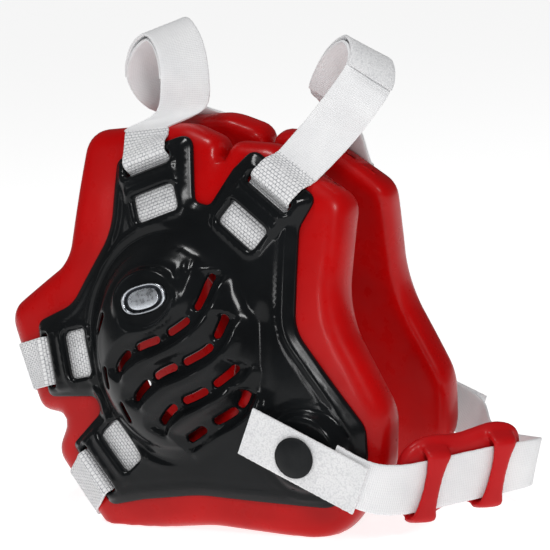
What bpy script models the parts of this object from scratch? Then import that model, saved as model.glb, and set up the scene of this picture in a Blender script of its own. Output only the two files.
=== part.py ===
"""Wrestling headgear: two vented ear guards on foam pads, webbing straps and a padded chin strap.

The frame: +X is the wearer's front, +Y the wearer's left, +Z up, and the floor is at z = 0.
Lengths in this script are millimetres; every mesh is scaled to metres as it is made.
A guard's own directions are u (forward), v (up along the guard) and h (outward from the pad's face).
"""

import bpy
import bmesh
import numpy as np
from math import acos, ceil, cos, hypot, pi, radians, sin, sqrt, tan
from mathutils import Vector
from mathutils.geometry import interpolate_bezier

MM = 0.001
RIGHT, LEFT = -1, 1
SIDES = {"right": RIGHT, "left": LEFT}

# A guard's place: the middle of its ear cup, its lean towards the other guard and its curvature.
GUARD_X, GUARD_Y, GUARD_Z = -21.8, 43.5, 71.6
GUARD_LEAN = radians(8.3)
FORE_AFT_RADIUS, UPRIGHT_RADIUS = 300.0, 400.0

PAD_THICKNESS = 17.0
PAD_COLUMNS = 46
RIM_DEPTHS = (0.0, 1.1, 4.0, 8.5)
EAR_HOLE = (23.0, 31.0)
EAR_HOLE_TILT = radians(9)

SHELL_LIFT, SHELL_THICKNESS = 2.1, 1.8
SHELL_LIP_WIDTH = 4.0
SHELL_COLUMNS = 60
SHELL_RING_DEPTHS = (0.0, 2.0, 4.0)
SHELL_INNER_RINGS = 5
CUP_CENTRE = (0.5, -0.5)
CUP_SEMI_AXES = (34.0, 41.5)
CUP_TILT = radians(9)
CUP_HEIGHT = 13.5
VENT_WIDTH = 3.4

# Webbing, and the slot and window that each strap is threaded through.
WEB_WIDTH, WEB_THICKNESS = 19.0, 1.3
SLOT_SIZE, SLOT_SHIFT = (20.6, 4.2), 0.7
WINDOW_SIZE = (20.4, 10.4)
WINDOW_INSET = 14.8
RIM_CLEARANCE = 1.25
LAP_LIFT = 2.2

# The snaps lie on one line along Y, so that the chin strap can swing about it.
SNAP_U, SNAP_V = 55.0, -37.4
SEAT_Y = 50.0
SEAT_RADIUS, SEAT_FADE = 12.5, 4.0
TAB_LENGTH, TAB_THICKNESS = 49.0, 1.4
TAB_SLOPE = radians(-23.7)
TAB_BEHIND_SNAP = 21.5
SOCKET_START, TAB_START, CAP_START = 51.2, 54.0, 55.7

BADGE_CENTRE = (-4.0, 18.0)
BADGE_SEMI_AXES = (8.9, 4.9)
BADGE_TILT = radians(15)
BADGE_SEAT = (12.0, 9.6)
BADGE_SEAT_LIFT, BADGE_THICKNESS = 15.2, 1.2

# Outlines: corners (u, v, corner radius), anticlockwise with forward to the right.
PAD_CORNERS = [
    (65, 13, 30), (84.5, -24, 10), (82.5, -42, 12), (61, -72, 20), (12, -68.5, 60), (-36, -74, 8),
    (-60, -44.5, 8), (-52.5, -30, 4), (-67, -28.5, 6), (-85, 10, 9), (-52.5, 30.5, 14), (-46.5, 81, 10),
    (0, 83.5, 20), (16, 77, 7), (15.3, 65.5, 1.5), (20, 76.5, 5), (37, 75, 14), (67, 54.5, 9),
]
SHELL_CORNERS = [
    (50, 7, 16), (75.5, -28, 9), (76, -41, 10), (64, -58.5, 10), (10, -56, 60), (-15, -59.5, 14),
    (-30.5, -63, 4), (-47.4, -40.4, 2.5), (-32, -26.5, 4.5), (-35, -21, 4), (-59, -22.5, 3.5), (-64.5, 6.5, 4),
    (-46, 14, 14), (-28, 42, 26), (-27.5, 69.5, 4), (5, 79.5, 5), (8.3, 53.5, 3), (15, 52, 3),
    (23.5, 65.5, 6), (31, 73, 4), (56.5, 55, 4), (50.5, 44, 8),
]
# Strap tabs: the slot's centre (u, v) and the direction in which the strap leaves.
TABS = {
    "crown": ((-12.0, 67.0), radians(108.4)),
    "front": ((39.0, 56.5), radians(51.9)),
    "upper_rear": ((-56.0, -8.0), radians(192.5)),
    "lower_rear": ((-33.5, -48.5), radians(220.3)),
}
# Swirling vents of the ear cup, each from its upper front end to its lower rear end.
VENTS = [
    [(20, 25), (17, 14), (9, 6), (-4, 1.5), (-18, -6.5)],
    [(25, 9), (19, -1), (6, -8), (-5, -13), (-10, -18)],
    [(30.5, -7), (24, -12.5), (13, -18.5), (3, -24), (0, -28.5)],
    [(33, -17), (28, -22.5), (20, -27.5), (12, -32), (9.5, -35.5)],
]

# Free runs of the two top straps between the pads' rims: (centre, width direction).
CROWN_LOOP = [
    ((-28, -13.5, 156.5), (0.87, 0.48, 0.0)), ((-26, -12, 169), (0.70, 0.70, -0.05)),
    ((-30.5, -7, 181), (0.64, 0.74, 0.10)), ((-40, 0, 187.5), (0.59, 0.76, 0.26)),
    ((-51, 7, 181.5), (0.62, 0.74, 0.20)), ((-57, 12, 169), (0.68, 0.70, 0.10)),
    ((-51, 14, 157.5), (0.80, 0.52, 0.10)),
]
FRONT_LOOP = [
    ((35.5, -15.5, 147.5), (0.76, 0.31, -0.57)), ((45, -14, 158), (0.75, 0.31, -0.58)),
    ((50, -8.5, 167.5), (0.69, 0.42, -0.59)), ((44, 0.5, 174.5), (0.68, 0.50, -0.53)),
    ((31, 9, 168), (0.70, 0.42, -0.58)), ((22, 13.5, 156), (0.74, 0.33, -0.58)),
    ((23.5, 15.5, 149), (0.76, 0.20, -0.60)),
]
REAR_STATIONS = ((-9, 2.3), (0, 2.7), (9, 2.3))
STRAP_SAMPLES = 2

# The chin strap from the right tab round to the left tab: (centre, width direction).
CHIN_ROUTE = [
    ((45.5, -52.2, 30.8), (0.40, 0, 0.92)), ((58, -52.0, 25.3), (0.38, 0, 0.92)),
    ((66, -46, 22.3), (0.25, 0.10, 0.96)), ((74, -36.5, 21.5), (0.16, 0.05, 0.98)),
    ((88, -20.5, 22.5), (0.14, 0.02, 0.99)), ((100, -5, 22.6), (0.20, 0, 0.98)),
    ((102, 3, 22), (0.24, 0, 0.97)), ((97, 11, 20), (0.25, 0, 0.97)),
    ((83, 23, 17.8), (0.28, 0, 0.96)), ((68.5, 36, 18), (0.32, 0, 0.95)),
    ((59, 49, 23.5), (0.38, 0, 0.92)), ((45.5, 52.2, 30.8), (0.40, 0, 0.92)),
]
CHIN_WEB_SAMPLES = 4
# The chin pad, measured along the chin strap's route from its right end.
CHIN_PAD_SPAN = (30.5, 78.0)
CHIN_PAD_THICKNESS, CHIN_PAD_GAP = 8.0, 0.6
CHIN_BAR_PLACES, CHIN_BAR_WIDTH = (39.5, 66.0), 8.5
CHIN_BAR_THICKNESS = 2.8


# Plane geometry


def rounded_outline(corners, step=3.0):
    """A closed polygon's points, each corner replaced by an arc of its radius."""
    points = []
    count = len(corners)
    for i, (u, v, radius) in enumerate(corners):
        here = Vector((u, v))
        back = Vector(corners[i - 1][:2]) - here
        ahead = Vector(corners[(i + 1) % count][:2]) - here
        half = back.angle(ahead) / 2
        reach = min(radius / tan(half), 0.48 * back.length, 0.48 * ahead.length)
        start, end = here + reach * back.normalized(), here + reach * ahead.normalized()
        pieces = max(2, ceil((end - start).length / step)) + 1
        points += interpolate_bezier(
            start.to_3d(), start.lerp(here, 0.6).to_3d(), end.lerp(here, 0.6).to_3d(), end.to_3d(), pieces
        )
    return np.array([(p.x, p.y) for p in points])


def distance_to(outline, point):
    """The distance from a point to a closed polyline."""
    a = outline
    ab = np.roll(outline, -1, axis=0) - a
    t = np.clip(((point - a) * ab).sum(1) / (ab * ab).sum(1), 0, 1)
    return np.hypot(*(point - (a + ab * t[:, None])).T).min()


def reach_along(outline, start, direction):
    """How far a ray from start runs before it leaves the closed polyline for the last time."""
    a = outline - start
    b = np.roll(outline, -1, axis=0) - start
    across = np.array([-direction[1], direction[0]])
    sa, sb = a @ across, b @ across
    crossing = (sa > 0) != (sb > 0)
    t = sa[crossing] / (sa[crossing] - sb[crossing])
    return ((a[crossing] + (b - a)[crossing] * t[:, None]) @ direction).max()


def even_angles(outline, centre, count):
    """Directions from the centre to points spread evenly along the outline."""
    closed = np.vstack([outline, outline[:1]])
    run = np.concatenate([[0], np.cumsum(np.hypot(*np.diff(closed, axis=0).T))])
    places = np.linspace(0, run[-1], count, endpoint=False)
    points = np.column_stack([np.interp(places, run, closed[:, k]) for k in (0, 1)])
    return np.unwrap(np.arctan2(points[:, 1] - centre[1], points[:, 0] - centre[0]))


def smooth_step(t):
    t = min(1.0, max(0.0, t))
    return t * t * (3 - 2 * t)


def oval_share(u, v, centre, semi_axes, tilt):
    """0 at an oval's middle, 1 on its edge and more outside it."""
    du, dv = u - centre[0], v - centre[1]
    along, across = du * cos(tilt) + dv * sin(tilt), dv * cos(tilt) - du * sin(tilt)
    return hypot(along / semi_axes[0], across / semi_axes[1])


def ring_places(outline, centre, angle, depths, inner):
    """Distances from the centre, from the outline inwards, where each depth below the edge is reached."""
    direction = np.array([cos(angle), sin(angle)])
    edge = reach_along(outline, np.array(centre), direction)
    places = [edge]
    for depth in depths[1:]:
        place = places[-1]
        while place > inner and distance_to(outline, centre + direction * place) < depth:
            place -= 0.1
        places.append(max(place, inner + 0.35 * (places[-1] - inner)))
    return places


# Guard geometry


def on_guard(side, u, v, h):
    """The point of a guard at u forward, v up along it and h outward from the pad's face."""
    w = h - u * u / (2 * FORE_AFT_RADIUS) - v * v / (2 * UPRIGHT_RADIUS)
    y = GUARD_Y - v * sin(GUARD_LEAN) + w * cos(GUARD_LEAN)
    return Vector((GUARD_X + u, side * y, GUARD_Z + v * cos(GUARD_LEAN) + w * sin(GUARD_LEAN)))


def height_at_y(u, v, y):
    """The h of a guard's point that lies at this distance y from the middle plane."""
    w = (y - GUARD_Y + v * sin(GUARD_LEAN)) / cos(GUARD_LEAN)
    return w + u * u / (2 * FORE_AFT_RADIUS) + v * v / (2 * UPRIGHT_RADIUS)


def shell_top(u, v, depth):
    """The height of a shell's outer face, depth being the distance in from its edge."""
    lip = smooth_step(depth / SHELL_LIP_WIDTH)
    height = 0.3 + SHELL_THICKNESS + (SHELL_LIFT - 0.3) * lip
    cup = oval_share(u, v, CUP_CENTRE, CUP_SEMI_AXES, CUP_TILT)
    if cup < 1:
        height += CUP_HEIGHT * (1 - cup ** 3)
    badge = oval_share(u, v, BADGE_CENTRE, BADGE_SEAT, BADGE_TILT)
    level = BADGE_SEAT_LIFT + u * u / (2 * FORE_AFT_RADIUS) + v * v / (2 * UPRIGHT_RADIUS)
    height += (level - height) * smooth_step((1.3 - badge) / 0.3)
    away = hypot(u - SNAP_U, v - SNAP_V)
    seat = smooth_step((SEAT_RADIUS + SEAT_FADE - away) / SEAT_FADE)
    return height + (height_at_y(u, v, SEAT_Y) - height) * seat


# Meshes


def make_object(name, vertices, faces, smooth_angle=None):
    """One closed solid as an object, from points in millimetres."""
    bm = bmesh.new()
    made = [bm.verts.new(Vector(p) * MM) for p in vertices]
    for face in faces:
        bm.faces.new([made[i] for i in face])
    bmesh.ops.recalc_face_normals(bm, faces=bm.faces)
    mesh = bpy.data.meshes.new(name)
    bm.to_mesh(mesh)
    bm.free()
    if smooth_angle is not None:
        mesh.shade_smooth()
        mesh.set_sharp_from_angle(angle=smooth_angle)
    obj = bpy.data.objects.new(name, mesh)
    bpy.context.collection.objects.link(obj)
    return obj


def tube_faces(columns, rows):
    """Quads between neighbouring columns of a grid that is closed both ways."""
    return [
        (i * rows + j, i * rows + (j + 1) % rows, (i + 1) % columns * rows + (j + 1) % rows,
         (i + 1) % columns * rows + j)
        for i in range(columns)
        for j in range(rows)
    ]


def prism(side, loop, low, high):
    """A cutter's points and faces: a closed (u, v) loop from height low to height high."""
    count = len(loop)
    points = [on_guard(side, u, v, low) for u, v in loop] + [on_guard(side, u, v, high) for u, v in loop]
    faces = [tuple(range(count)), tuple(range(2 * count - 1, count - 1, -1))]
    faces += [(i, (i + 1) % count, count + (i + 1) % count, count + i) for i in range(count)]
    return points, faces


def turned(name, side, profile, centre_x, centre_z, segments=16):
    """A solid of revolution about the line along Y; the profile is (radius, y) from axis to axis."""
    points, faces = [Vector((centre_x, side * profile[0][1], centre_z))], []
    rings = profile[1:-1]
    for radius, y in rings:
        for k in range(segments):
            a = 2 * pi * k / segments
            points.append(Vector((centre_x + radius * cos(a), side * y, centre_z + radius * sin(a))))
    points.append(Vector((centre_x, side * profile[-1][1], centre_z)))
    end = len(points) - 1
    for k in range(segments):
        following = (k + 1) % segments
        faces.append((0, 1 + k, 1 + following))
        for r in range(len(rings) - 1):
            a, b = 1 + r * segments, 1 + (r + 1) * segments
            faces.append((a + k, b + k, b + following, a + following))
        last = 1 + (len(rings) - 1) * segments
        faces.append((last + k, end, last + following))
    obj = make_object(name, points, faces, smooth_angle=radians(35))
    axis_at(obj, (centre_x, side * profile[0][1], centre_z))
    return obj


def axis_at(obj, place):
    """Put the object's origin on its joint's axis without moving the solid."""
    where = Vector(place) * MM
    for vertex in obj.data.vertices:
        vertex.co -= where
    obj.location = where


def ribbon(name, edges, lift=0.0, thickness=WEB_THICKNESS, smooth_angle=radians(40)):
    """A flat strap: pairs of edge points, each a station, thickened on both sides.

    lift moves the strap along its outward normal, as a number or one number per station.
    """
    lifts = [lift] * len(edges) if isinstance(lift, (int, float)) else lift
    middles = [(a + b) / 2 for a, b in edges]
    points, faces = [], []
    for i, (a, b) in enumerate(edges):
        along = middles[min(i + 1, len(edges) - 1)] - middles[max(i - 1, 0)]
        normal = along.cross(b - a).normalized()
        for edge, offset in ((a, 0.5), (b, 0.5), (b, -0.5), (a, -0.5)):
            points.append(edge + normal * (offset * thickness + lifts[i]))
    for i in range(len(edges) - 1):
        for k in range(4):
            faces.append((4 * i + k, 4 * i + (k + 1) % 4, 4 * i + 4 + (k + 1) % 4, 4 * i + 4 + k))
    faces += [(0, 1, 2, 3), tuple(4 * len(edges) - 1 - k for k in range(4))]
    return make_object(name, points, faces, smooth_angle)


def smooth_route(stations, samples):
    """A Catmull-Rom curve through stations, each a tuple of vectors."""
    route = []
    count = len(stations)
    for i in range(count - 1):
        four = [stations[min(max(i + k, 0), count - 1)] for k in (-1, 0, 1, 2)]
        for s in range(samples):
            t = s / samples
            weights = (
                (-t + 2 * t * t - t ** 3) / 2, (2 - 5 * t * t + 3 * t ** 3) / 2,
                (t + 4 * t * t - 3 * t ** 3) / 2, (t ** 3 - t * t) / 2,
            )
            route.append(tuple(
                sum((w * p for w, p in zip(weights, points)), Vector((0, 0, 0)))
                for points in zip(*four)
            ))
    route.append(stations[-1])
    return route


# Pieces of one guard


def make_pad(name, side):
    """The foam pad: a ring round the ear hole with full round rims, flattened where it stands."""
    outline = rounded_outline(PAD_CORNERS)
    radius = PAD_THICKNESS / 2
    angles = even_angles(outline, CUP_CENTRE, PAD_COLUMNS)
    points = []
    for angle in angles:
        direction = np.array([cos(angle), sin(angle)])
        turn = angle - EAR_HOLE_TILT
        hole = 1 / hypot(cos(turn) / EAR_HOLE[0], sin(turn) / EAR_HOLE[1])
        outer = ring_places(outline, CUP_CENTRE, angle, RIM_DEPTHS, hole + radius + 1)
        section = [(place, min(depth, radius)) for place, depth in zip(outer, RIM_DEPTHS)]
        section += [(hole + depth, min(depth, radius)) for depth in reversed(RIM_DEPTHS)]
        rise = [sqrt(max(0, radius ** 2 - (radius - depth) ** 2)) for _, depth in section]
        upper = [(place, -radius + r) for (place, _), r in zip(section, rise)]
        lower = [(place, -radius - r) for (place, _), r in zip(section, rise)][-2:0:-1]
        for place, h in upper + lower:
            u, v = np.array(CUP_CENTRE) + direction * place
            point = on_guard(side, u, v, h)
            point.z = max(point.z, 0.0)
            points.append(point)
    rows = len(points) // PAD_COLUMNS
    return make_object(name, points, tube_faces(PAD_COLUMNS, rows), smooth_angle=radians(50))


def tab_box(tab, along, across, inset, corner):
    """A rounded rectangle on a strap tab, its middle this far inward from the slot."""
    (u, v), heading = TABS[tab]
    out, side_way = Vector((cos(heading), sin(heading))), Vector((sin(heading), -cos(heading)))
    middle = Vector((u, v)) - out * inset
    half_along, half_across = along / 2, across / 2
    corners = [
        (*(middle + side_way * a * half_across + out * b * half_along), corner)
        for a, b in ((-1, -1), (1, -1), (1, 1), (-1, 1))
    ]
    return [tuple(p) for p in rounded_outline(corners)]


def vent_loop(centre_line, width):
    """The outline of a slot of this width along a centre line."""
    line = smooth_route([(Vector((u, v, 0)),) for u, v in centre_line], 2)
    near, far = [], []
    for i, (p,) in enumerate(line):
        along = (line[min(i + 1, len(line) - 1)][0] - line[max(i - 1, 0)][0]).normalized()
        half = width / 2 * min(1, 0.45 + 0.4 * min(i, len(line) - 1 - i))
        near.append((p.x - along.y * half, p.y + along.x * half))
        far.append((p.x + along.y * half, p.y - along.x * half))
    return near + far[::-1]


def make_shell(name, side):
    """The plastic shell: a lipped plate with the domed ear cup, four strap tabs and the vents."""
    outline = rounded_outline(SHELL_CORNERS)
    angles = even_angles(outline, CUP_CENTRE, SHELL_COLUMNS)
    points, rows = [], 2 * (len(SHELL_RING_DEPTHS) + SHELL_INNER_RINGS)
    for angle in angles:
        direction = np.array([cos(angle), sin(angle)])
        places = ring_places(outline, CUP_CENTRE, angle, SHELL_RING_DEPTHS, 20)
        inner = places[-1]
        places += [inner * (1 - (k + 1) / (SHELL_INNER_RINGS + 1)) for k in range(SHELL_INNER_RINGS)]
        top, bottom = [], []
        for place in places:
            u, v = np.array(CUP_CENTRE) + direction * place
            height = shell_top(u, v, distance_to(outline, np.array((u, v))))
            top.append(on_guard(side, u, v, height))
            bottom.append(on_guard(side, u, v, height - SHELL_THICKNESS))
        points += top + bottom[::-1]
    inmost = rows // 2 - 1
    faces = [face for face in tube_faces(SHELL_COLUMNS, rows) if face[0] % rows != inmost]
    peak = shell_top(*CUP_CENTRE, 50)
    points += [on_guard(side, *CUP_CENTRE, peak), on_guard(side, *CUP_CENTRE, peak - SHELL_THICKNESS)]
    for i in range(SHELL_COLUMNS):
        here, following = i * rows + inmost, (i + 1) % SHELL_COLUMNS * rows + inmost
        faces.append((here, following, len(points) - 2))
        faces.append((following + 1, here + 1, len(points) - 1))
    shell = make_object(name, points, faces, smooth_angle=radians(40))
    cut_points, cut_faces = [], []
    loops = [(tab_box(tab, SLOT_SIZE[1], SLOT_SIZE[0], -SLOT_SHIFT, 1.0), -1, 9) for tab in TABS]
    loops += [(tab_box(tab, WINDOW_SIZE[1], WINDOW_SIZE[0], WINDOW_INSET, 1.4), -1, 16) for tab in TABS]
    loops += [(vent_loop(vent, VENT_WIDTH), 1, 24) for vent in VENTS]
    for loop, low, high in loops:
        more_points, more_faces = prism(side, loop, low, high)
        cut_faces += [tuple(i + len(cut_points) for i in face) for face in more_faces]
        cut_points += more_points
    cutter = make_object(name + "_cutter", cut_points, cut_faces)
    cutter.hide_render = True
    cutter.display_type = "WIRE"
    cut = shell.modifiers.new("slots_and_vents", "BOOLEAN")
    cut.operation, cut.solver, cut.object = "DIFFERENCE", "EXACT", cutter
    return shell


def make_badge(name, side):
    """The oval badge on the cup's flat seat."""
    count = 28
    points, faces = [], []
    for level, share in ((0.5, 1.0), (0.5 + 0.6 * BADGE_THICKNESS, 1.0), (0.5 + BADGE_THICKNESS, 0.9)):
        for k in range(count):
            a = 2 * pi * k / count
            du, dv = share * BADGE_SEMI_AXES[0] * cos(a), share * BADGE_SEMI_AXES[1] * sin(a)
            u = BADGE_CENTRE[0] + du * cos(BADGE_TILT) - dv * sin(BADGE_TILT)
            v = BADGE_CENTRE[1] + du * sin(BADGE_TILT) + dv * cos(BADGE_TILT)
            rise = u * u / (2 * FORE_AFT_RADIUS) + v * v / (2 * UPRIGHT_RADIUS)
            points.append(on_guard(side, u, v, BADGE_SEAT_LIFT + level + rise))
    for ring in range(2):
        for k in range(count):
            a, b = ring * count + k, ring * count + (k + 1) % count
            faces.append((a, b, b + count, a + count))
    faces += [tuple(range(count)), tuple(range(3 * count - 1, 2 * count - 1, -1))]
    return make_object(name, points, faces, smooth_angle=radians(40))


# Snaps


def snap_place():
    place = on_guard(RIGHT, SNAP_U, SNAP_V, height_at_y(SNAP_U, SNAP_V, SEAT_Y))
    return place.x, place.z


def make_snap(word, side):
    """Stud on the shell, and socket and cap on the chin strap's tab."""
    x, z = snap_place()
    stud = [(0, SEAT_Y + 0.3), (5.2, SEAT_Y + 0.3), (5.2, SEAT_Y + 0.9), (2.7, SEAT_Y + 0.9),
            (2.5, SEAT_Y + 1.9), (3.0, SEAT_Y + 2.5), (2.4, SEAT_Y + 3.1), (0, SEAT_Y + 3.1)]
    socket = [(0, SOCKET_START + 2.2), (3.4, SOCKET_START + 2.2), (3.4, SOCKET_START + 0.4),
              (3.9, SOCKET_START), (5.9, SOCKET_START), (6.4, SOCKET_START + 0.6),
              (6.4, SOCKET_START + 2.5), (0, SOCKET_START + 2.5)]
    cap = [(0, CAP_START), (7.4, CAP_START), (7.6, CAP_START + 0.5), (7.2, CAP_START + 1.1),
           (5.4, CAP_START + 1.7), (2.8, CAP_START + 2.0), (0, CAP_START + 2.1)]
    for kind, profile in (("stud", stud), ("socket", socket), ("cap", cap)):
        turned(f"{word}_snap_{kind}", side, profile, x, z)


def make_tab(name, side):
    """The stiff end of the chin strap that carries the snap."""
    x, z = snap_place()
    along, up = Vector((cos(TAB_SLOPE), 0, sin(TAB_SLOPE))), Vector((-sin(TAB_SLOPE), 0, cos(TAB_SLOPE)))
    middle_y = side * (TAB_START + TAB_THICKNESS / 2)
    stations = 7
    edges = []
    for i in range(stations):
        centre = Vector((x, middle_y, z)) + along * (TAB_LENGTH * i / (stations - 1) - TAB_BEHIND_SNAP)
        edges.append((centre - up * WEB_WIDTH / 2, centre + up * WEB_WIDTH / 2))
    tab = ribbon(name, edges, thickness=TAB_THICKNESS)
    axis_at(tab, (x, middle_y, z))
    return tab


# Straps


def threaded_edge(side, tab, lateral, wrap_end):
    """One edge of a strap: under the tab, out of its slot and over the pad's rim to the wrap's end."""
    (u, v), heading = TABS[tab]
    out, side_way = np.array((cos(heading), sin(heading))), np.array((sin(heading), -cos(heading)))
    start = np.array((u, v)) + side_way * lateral
    edge = reach_along(rounded_outline(SHELL_CORNERS), start, out)
    turn = reach_along(rounded_outline(PAD_CORNERS), start, out) - PAD_THICKNESS / 2
    radius = PAD_THICKNESS / 2 + RIM_CLEARANCE
    path = [(-20.5, 1.0), (-18.9, 1.1), (-16.4, 2.5), (-13.2, 2.5), (-10.7, 1.1), (-5.0, 1.0), (-0.9, 1.0),
            (1.0, 3.0), (3.0, 5.1), (edge - 1.5, 4.5), (edge + 0.7, 3.2)]
    wrap_start = min(radians(76), acos(min(0.9, (edge + 2.4 - turn) / radius)))
    for k in range(4):
        a = wrap_start + (wrap_end - wrap_start) * k / 3
        path.append((turn + radius * cos(a), radius * sin(a) - PAD_THICKNESS / 2))
    return [on_guard(side, *(start + out * d), h) for d, h in path]


def threaded_end(side, tab, wrap_end):
    """The strap's stations on one guard, from under the shell outwards."""
    half = WEB_WIDTH / 2
    return list(zip(threaded_edge(side, tab, -half, wrap_end), threaded_edge(side, tab, half, wrap_end)))


def free_stations(loop):
    half = WEB_WIDTH / 2
    stations = []
    for centre, width in loop:
        reach = Vector(width).normalized() * half
        stations.append((Vector(centre) - reach, Vector(centre) + reach))
    return stations


def make_strap(tab, loop, wrap_end, left_outside=False):
    """A strap as a right and a left half that lap over each other by hook and loop."""
    right_end = threaded_end(RIGHT, tab, wrap_end)
    left_end = threaded_end(LEFT, tab, wrap_end)[::-1]
    if loop:
        middle, lap = free_stations(loop), 2 * STRAP_SAMPLES
        if right_end[0][0].x > right_end[0][1].x:
            middle = [(b, a) for a, b in middle]
    else:
        lap = STRAP_SAMPLES
        middle = [tuple(Vector((p.x - bulge, y, p.z)) for p in right_end[-1]) for y, bulge in REAR_STATIONS]
    free = smooth_route(right_end[-2:] + middle + left_end[:2], STRAP_SAMPLES)[STRAP_SAMPLES:-STRAP_SAMPLES]
    route = right_end[:-1] + free + left_end[1:]
    left_start = len(right_end) + len(free) - 2
    centre = len(right_end) - 1 + len(free) // 2
    lift = -LAP_LIFT if left_outside else LAP_LIFT
    lifts = [lift * smooth_step((left_start - i) / STRAP_SAMPLES) for i in range(len(route))]
    first = centre - (lap // 2 if left_outside else lap)
    ribbon(f"{tab}_strap_right", route[: centre + lap + 1])
    ribbon(f"{tab}_strap_left", route[first:], lift=lifts[first:])


def chin_route():
    """The chin strap's stations as (centre, width direction) with their distance from its right end."""
    smooth = smooth_route([(Vector(c), Vector(w)) for c, w in CHIN_ROUTE], CHIN_WEB_SAMPLES)
    distance, run = 0.0, []
    for i, (centre, width) in enumerate(smooth):
        if i:
            distance += (centre - smooth[i - 1][0]).length
        run.append((distance, centre, width.normalized()))
    return run


def along_chin(run, distance):
    """Centre, width direction and outward normal of the chin strap at a distance along it."""
    i = max(k for k in range(len(run) - 1) if run[k][0] <= distance)
    (da, ca, wa), (db, cb, wb) = run[i], run[i + 1]
    t = (distance - da) / (db - da)
    width = wa.lerp(wb, t).normalized()
    before, after = run[max(i - 1, 0)][1], run[min(i + 2, len(run) - 1)][1]
    normal = (after - before).cross(width).normalized()
    return ca.lerp(cb, t), width, normal


def make_chin_strap(run):
    half = WEB_WIDTH / 2
    ribbon("chin_strap", [(c - w * half, c + w * half) for _, c, w in run])


def bent_bar(run, start, end, steps, section, name):
    """A bar that follows the chin strap; its section is (across the width, outward) corners."""
    points, faces = [], []
    count = len(section(0))
    for i in range(steps + 1):
        centre, width, normal = along_chin(run, start + (end - start) * i / steps)
        points += [centre + width * a + normal * n for a, n in section(i / steps)]
    for i in range(steps):
        for k in range(count):
            a, b = i * count + k, i * count + (k + 1) % count
            faces.append((a, b, b + count, a + count))
    faces += [tuple(range(count)), tuple(range(len(points) - 1, len(points) - 1 - count, -1))]
    return make_object(name, points, faces, smooth_angle=radians(50))


def make_chin_pad(run):
    """A soft pad behind the strap, with two bars over the strap that hold it."""
    back = -(WEB_THICKNESS / 2 + CHIN_PAD_GAP)
    deep = back - CHIN_PAD_THICKNESS

    def slab(share):
        taper = sqrt(max(0.0, 1 - abs(2 * share - 1) ** 5))
        high = 15.5 * (0.62 + 0.38 * taper)
        thin = CHIN_PAD_THICKNESS * 0.32 * (1 - 0.8 * taper)
        return [
            (-high + 2.6, back - thin), (high - 2.6, back - thin), (high - 0.5, back - 1.6 - thin),
            (high, back - 4), (high - 0.5, deep + 1.6 + thin), (high - 2.6, deep + thin),
            (-high + 2.6, deep + thin), (-high + 0.5, deep + 1.6 + thin), (-high, back - 4),
            (-high + 0.5, back - 1.6 - thin),
        ]

    pad = bent_bar(run, *CHIN_PAD_SPAN, 10, slab, "chin_pad")
    inner, outer = WEB_THICKNESS / 2 + CHIN_PAD_GAP, WEB_THICKNESS / 2 + CHIN_PAD_GAP + CHIN_BAR_THICKNESS
    open_half, bar_half = WEB_WIDTH / 2 + 0.6, WEB_WIDTH / 2 + 3.4

    def bridge(share):
        return [
            (-bar_half, back - 2.5), (-bar_half, outer - 1.4), (-bar_half + 1.6, outer),
            (bar_half - 1.6, outer), (bar_half, outer - 1.4), (bar_half, back - 2.5),
            (open_half, back - 2.5), (open_half, inner), (-open_half, inner), (-open_half, back - 2.5),
        ]

    for i, place in enumerate(CHIN_BAR_PLACES):
        bar = bent_bar(run, place - CHIN_BAR_WIDTH / 2, place + CHIN_BAR_WIDTH / 2, 2, bridge, f"chin_bar_{i}")
        bar.hide_render = True
        bar.display_type = "WIRE"
        join = pad.modifiers.new(f"bar_{i}", "BOOLEAN")
        join.operation, join.solver, join.object = "UNION", "EXACT", bar
    return pad


# Materials


def paint(names, colour, roughness, metallic=0.0):
    material = bpy.data.materials.new(names[0] + "_material")
    material.use_nodes = True
    shader = material.node_tree.nodes["Principled BSDF"]
    shader.inputs["Base Color"].default_value = (*colour, 1)
    shader.inputs["Roughness"].default_value = roughness
    shader.inputs["Metallic"].default_value = metallic
    for name in names:
        bpy.data.objects[name].data.materials.append(material)


def main():
    for obj in list(bpy.data.objects):
        bpy.data.objects.remove(obj, do_unlink=True)
    for word, side in SIDES.items():
        make_pad(f"{word}_pad", side)
        make_shell(f"{word}_shell", side)
        make_badge(f"{word}_badge", side)
        make_snap(word, side)
        make_tab(f"{word}_snap_tab", side)
    make_strap("crown", CROWN_LOOP, radians(40))
    make_strap("front", FRONT_LOOP, radians(40), left_outside=True)
    make_strap("upper_rear", None, radians(0))
    make_strap("lower_rear", None, radians(0))
    run = chin_route()
    make_chin_strap(run)
    make_chin_pad(run)
    both = ("right", "left")
    paint([f"{w}_pad" for w in both], (0.42, 0.004, 0.006), 0.32)
    paint(["chin_pad"], (0.5, 0.01, 0.012), 0.5)
    paint([f"{w}_shell" for w in both], (0.006, 0.007, 0.008), 0.18)
    paint([f"{w}_badge" for w in both], (0.55, 0.56, 0.58), 0.25, 1.0)
    paint([f"{w}_snap_cap" for w in both], (0.012, 0.013, 0.013), 0.5)
    paint([f"{w}_snap_{k}" for w in both for k in ("stud", "socket")], (0.6, 0.6, 0.58), 0.3, 1.0)
    straps = [f"{tab}_strap_{w}" for tab in TABS for w in both] + ["chin_strap"]
    paint(straps, (0.8, 0.8, 0.8), 0.85)
    paint([f"{w}_snap_tab" for w in both], (0.82, 0.82, 0.82), 0.95)


main()
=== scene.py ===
"""Wrestling headgear: its looks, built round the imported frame.

Lengths are millimetres until a mesh is made. A guard's own directions are u (forward), v (up along the
guard) and h (outward from the pad's face). The left guard mirrors the right one in the plane y = 0.
"""

from math import acos, cos, hypot, pi, radians, sin, sqrt, tan

import bmesh
import bpy
import numpy as np
from mathutils import Matrix, Vector, noise
from mathutils.geometry import delaunay_2d_cdt, interpolate_bezier


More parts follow.
